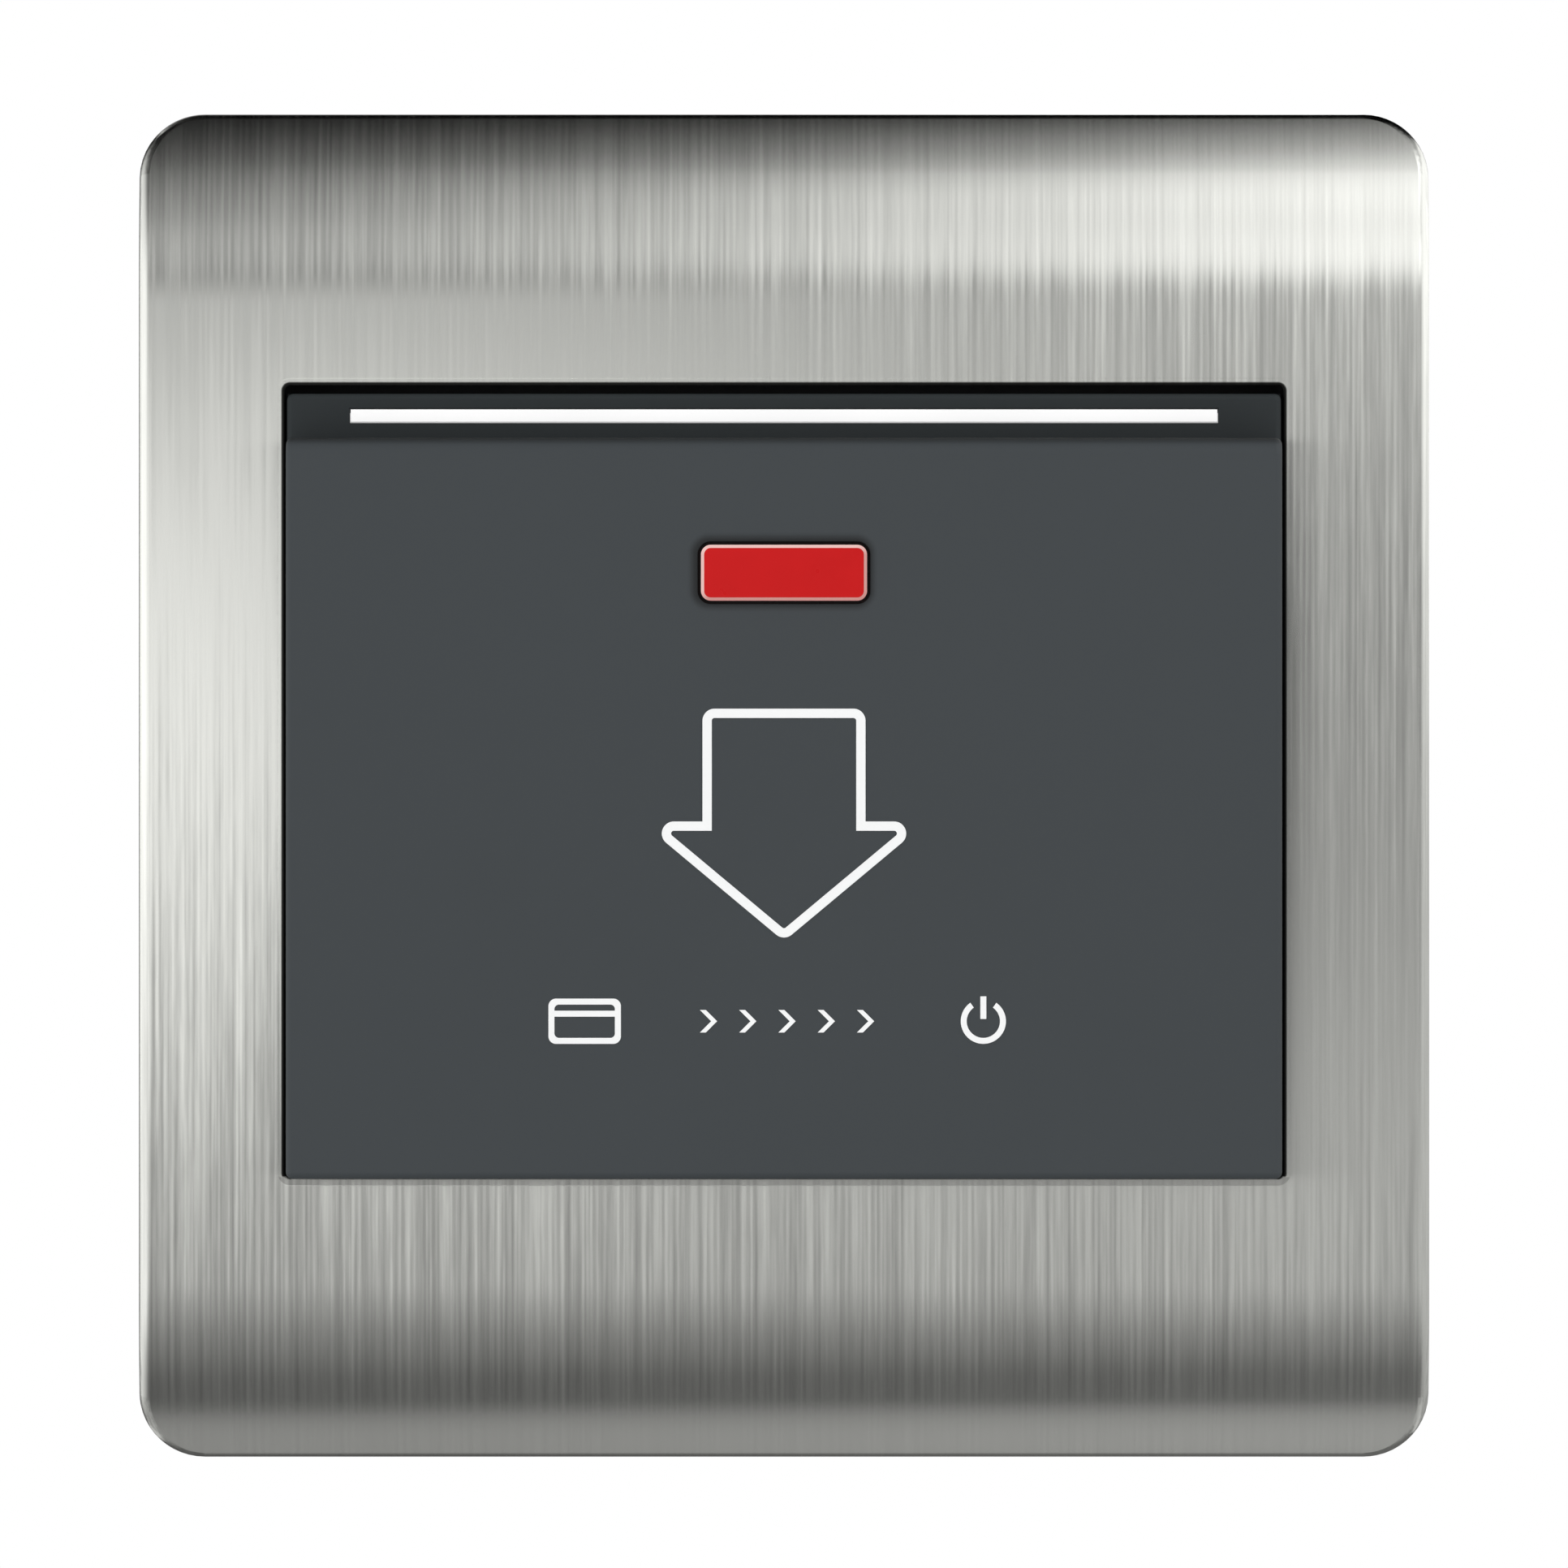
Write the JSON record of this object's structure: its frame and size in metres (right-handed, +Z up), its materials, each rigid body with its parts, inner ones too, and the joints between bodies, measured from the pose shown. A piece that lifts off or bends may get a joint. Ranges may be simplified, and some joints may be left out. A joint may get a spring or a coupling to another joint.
{
  "type": "hotel key card switch",
  "caption": "Wall-mounted key card switch with a steel face trim, a proud card pocket, a lit strip, a red indicator and a sprung switch that a card pushes down.",
  "frame": {"origin": "midway between the two fixing screws, in the plane of the wall", "axes": "+Z up, +Y into the wall, so the front faces -Y; +X is to the right seen from the front"},
  "size_m": [0.086, 0.0398, 0.0896],
  "materials": {
    "steel": "vertically brushed stainless steel",
    "backing_plastic": "dark grey moulded plastic",
    "carrier_plastic": "black moulded plastic",
    "screw_steel": "zinc-plated steel",
    "housing_plastic": "black moulded plastic",
    "board_laminate": "green board laminate",
    "relay_case": "blue relay case",
    "film_case": "yellow film capacitor case",
    "capacitor_sleeve": "black shrink sleeve",
    "component_case": "black epoxy case",
    "cassette_plastic": "dark grey satin plastic",
    "cover_plastic": "dark grey satin plastic",
    "strip_diffuser": "white diffusing plastic, lit from behind",
    "lamp_resin": "pale lamp resin",
    "contact_metal": "plain brass",
    "red_lens": "red translucent lens with a pale bevel",
    "guide_resin": "clear light guide",
    "legend_white": "white moulded inlay",
    "actuator_plastic": "natural acetal",
    "spring_steel": "bright spring steel",
    "switch_case": "black switch case",
    "plunger_plastic": "red plunger",
    "terminal_plastic": "grey terminal moulding",
    "clamp_brass": "brass clamp"
  },
  "bodies": {
    "base": {"face_trim": "steel", "trim_backing": "backing_plastic", "mounting_carrier": "carrier_plastic", "fixing_screws": "screw_steel", "housing_screws": "screw_steel", "rear_housing": "housing_plastic", "control_board": "board_laminate", "relay": "relay_case", "film_capacitor": "film_case", "smoothing_capacitor": "capacitor_sleeve", "board_components": "component_case", "card_cassette": "cassette_plastic", "front_cover": "cover_plastic", "light_strip": "strip_diffuser", "strip_board": "board_laminate", "strip_leds": "lamp_resin", "strip_header_pins": "contact_metal", "indicator_lens": "red_lens", "indicator_light_guide": "guide_resin", "indicator_led": "lamp_resin", "legend_inlay": "legend_white", "actuator_spring": "spring_steel", "microswitch_body": "switch_case", "microswitch_terminals": "contact_metal", "terminal_block": "terminal_plastic", "contact_bars": "contact_metal"},
    "actuator": {"card_actuator": "actuator_plastic"},
    "lever": {"microswitch_lever": "spring_steel"},
    "plunger": {"microswitch_plunger": "plunger_plastic"},
    "clamp_1": {"terminal_clamp_1": "clamp_brass"},
    "clamp_2": {"terminal_clamp_2": "clamp_brass"},
    "clamp_3": {"terminal_clamp_3": "clamp_brass"},
    "clamp_4": {"terminal_clamp_4": "clamp_brass"},
    "screw_1": {"terminal_screw_1": "screw_steel"},
    "screw_2": {"terminal_screw_2": "screw_steel"},
    "screw_3": {"terminal_screw_3": "screw_steel"},
    "screw_4": {"terminal_screw_4": "screw_steel"}
  },
  "joints": [
    {"name": "actuator_press", "type": "slide", "parent": "base", "child": "actuator", "axis": [0, 0, -1], "range_m": [0, 0.003], "stiffness_N_per_m": 200, "springref_m": -0.003, "deforming": ["actuator_spring"]},
    {"name": "lever_turn", "type": "hinge", "parent": "base", "child": "lever", "pos_m": [-0.013, 0.0036, -0.0118], "axis": [0, 1, 0], "range_deg": [0, 12.81]},
    {"name": "plunger_press", "type": "slide", "parent": "base", "child": "plunger", "axis": [0, 0, -1], "range_m": [0, 0.001]},
    {"name": "screw_1_turn", "type": "hinge", "parent": "base", "child": "screw_1", "pos_m": [-0.012, 0.0206, -0.018], "axis": [0, -1, 0], "range_deg": [0, 1800]},
    {"name": "screw_2_turn", "type": "hinge", "parent": "base", "child": "screw_2", "pos_m": [-0.004, 0.0206, -0.018], "axis": [0, -1, 0], "range_deg": [0, 1800]},
    {"name": "screw_3_turn", "type": "hinge", "parent": "base", "child": "screw_3", "pos_m": [0.004, 0.0206, -0.018], "axis": [0, -1, 0], "range_deg": [0, 1800]},
    {"name": "screw_4_turn", "type": "hinge", "parent": "base", "child": "screw_4", "pos_m": [0.012, 0.0206, -0.018], "axis": [0, -1, 0], "range_deg": [0, 1800]},
    {"name": "clamp_1_rise", "type": "slide", "parent": "base", "child": "clamp_1", "axis": [0, 1, 0], "range_m": [0, 0.003]},
    {"name": "clamp_2_rise", "type": "slide", "parent": "base", "child": "clamp_2", "axis": [0, 1, 0], "range_m": [0, 0.003]},
    {"name": "clamp_3_rise", "type": "slide", "parent": "base", "child": "clamp_3", "axis": [0, 1, 0], "range_m": [0, 0.003]},
    {"name": "clamp_4_rise", "type": "slide", "parent": "base", "child": "clamp_4", "axis": [0, 1, 0], "range_m": [0, 0.003]}
  ],
  "couplings": [
    {"joint": "lever_turn", "follows": "actuator_press", "rad_per_m": 74.467},
    {"joint": "plunger_press", "follows": "actuator_press", "ratio": 0.3318},
    {"joint": "screw_1_turn", "follows": "clamp_1_rise", "rad_per_m": 10472},
    {"joint": "screw_2_turn", "follows": "clamp_2_rise", "rad_per_m": 10472},
    {"joint": "screw_3_turn", "follows": "clamp_3_rise", "rad_per_m": 10472},
    {"joint": "screw_4_turn", "follows": "clamp_4_rise", "rad_per_m": 10472}
  ]
}
